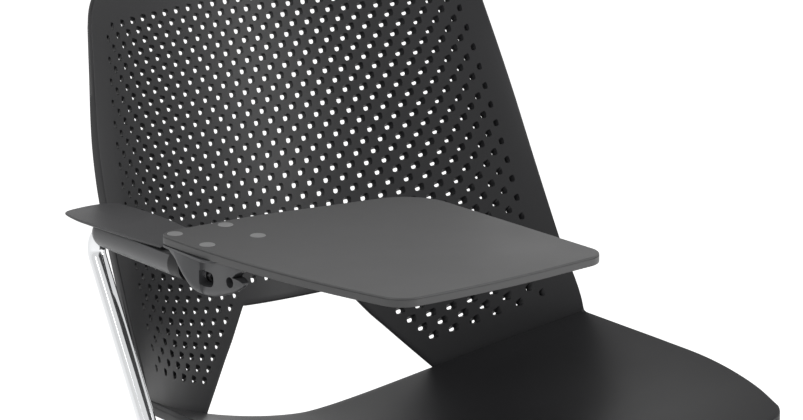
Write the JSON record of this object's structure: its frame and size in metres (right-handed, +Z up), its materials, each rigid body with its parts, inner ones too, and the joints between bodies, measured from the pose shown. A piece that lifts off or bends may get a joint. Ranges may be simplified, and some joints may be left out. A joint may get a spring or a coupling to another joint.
{
  "type": "stacking chair with writing tablet",
  "caption": "Moulded one-piece chair with perforated back on bent tube legs, with one arm post and a folding writing tablet on the sitter's right.",
  "frame": {"origin": "on the floor below the middle of the whole chair's outline", "axes": "+Z up, -Y the way the sitter faces, +X the sitter's left"},
  "size_m": [0.5329, 0.5871, 0.8345],
  "materials": {
    "shell_plastic": "moulded black polypropylene, fine satin grain",
    "chrome_tube": "bright chromed steel tube",
    "post_chrome": "bright chromed steel tube",
    "saddle_nylon": "moulded nylon",
    "zinc_screw": "zinc plated",
    "glide_nylon": "moulded nylon",
    "clamp_aluminium": "die cast, tumbled",
    "clamp_bolt": "blackened steel",
    "barrel_nylon": "satin moulded nylon",
    "pad_plastic": "grained plastic",
    "spindle_steel": "turned steel",
    "bush_acetal": "acetal",
    "keel_coating": "satin powder coating on a die casting",
    "spring_steel": "spring steel",
    "tablet_plastic": "fine textured plastic",
    "cap_plastic": "plain moulded plastic"
  },
  "bodies": {
    "chair": {"seat_shell": "shell_plastic", "left_side_frame": "chrome_tube", "right_side_frame": "chrome_tube", "front_cross_tube": "chrome_tube", "rear_cross_tube": "chrome_tube", "front_left_saddle": "saddle_nylon", "front_right_saddle": "saddle_nylon", "rear_left_saddle": "saddle_nylon", "rear_right_saddle": "saddle_nylon", "saddle_screws": "zinc_screw", "front_left_glide": "glide_nylon", "rear_left_glide": "glide_nylon", "front_right_glide": "glide_nylon", "rear_right_glide": "glide_nylon", "arm_post": "post_chrome", "post_clamp_outer": "clamp_aluminium", "post_clamp_inner": "clamp_aluminium", "clamp_bolts": "clamp_bolt", "arm_barrel": "barrel_nylon", "arm_pad": "pad_plastic", "arm_pad_studs": "pad_plastic", "hinge_spindle": "spindle_steel", "hinge_bush": "bush_acetal", "spring_washer": "spring_steel", "spindle_nut": "zinc_screw"},
    "tablet": {"keel_bracket": "keel_coating", "stop_pin": "spindle_steel", "tablet_board": "tablet_plastic", "tablet_screws": "zinc_screw", "tablet_caps": "cap_plastic"}
  },
  "joints": [
    {"name": "tablet_hinge", "type": "hinge", "parent": "chair", "child": "tablet", "pos_m": [-0.2455, -0.0535, 0.6485], "axis": [0, -1, 0], "range_deg": [0, 255]}
  ]
}
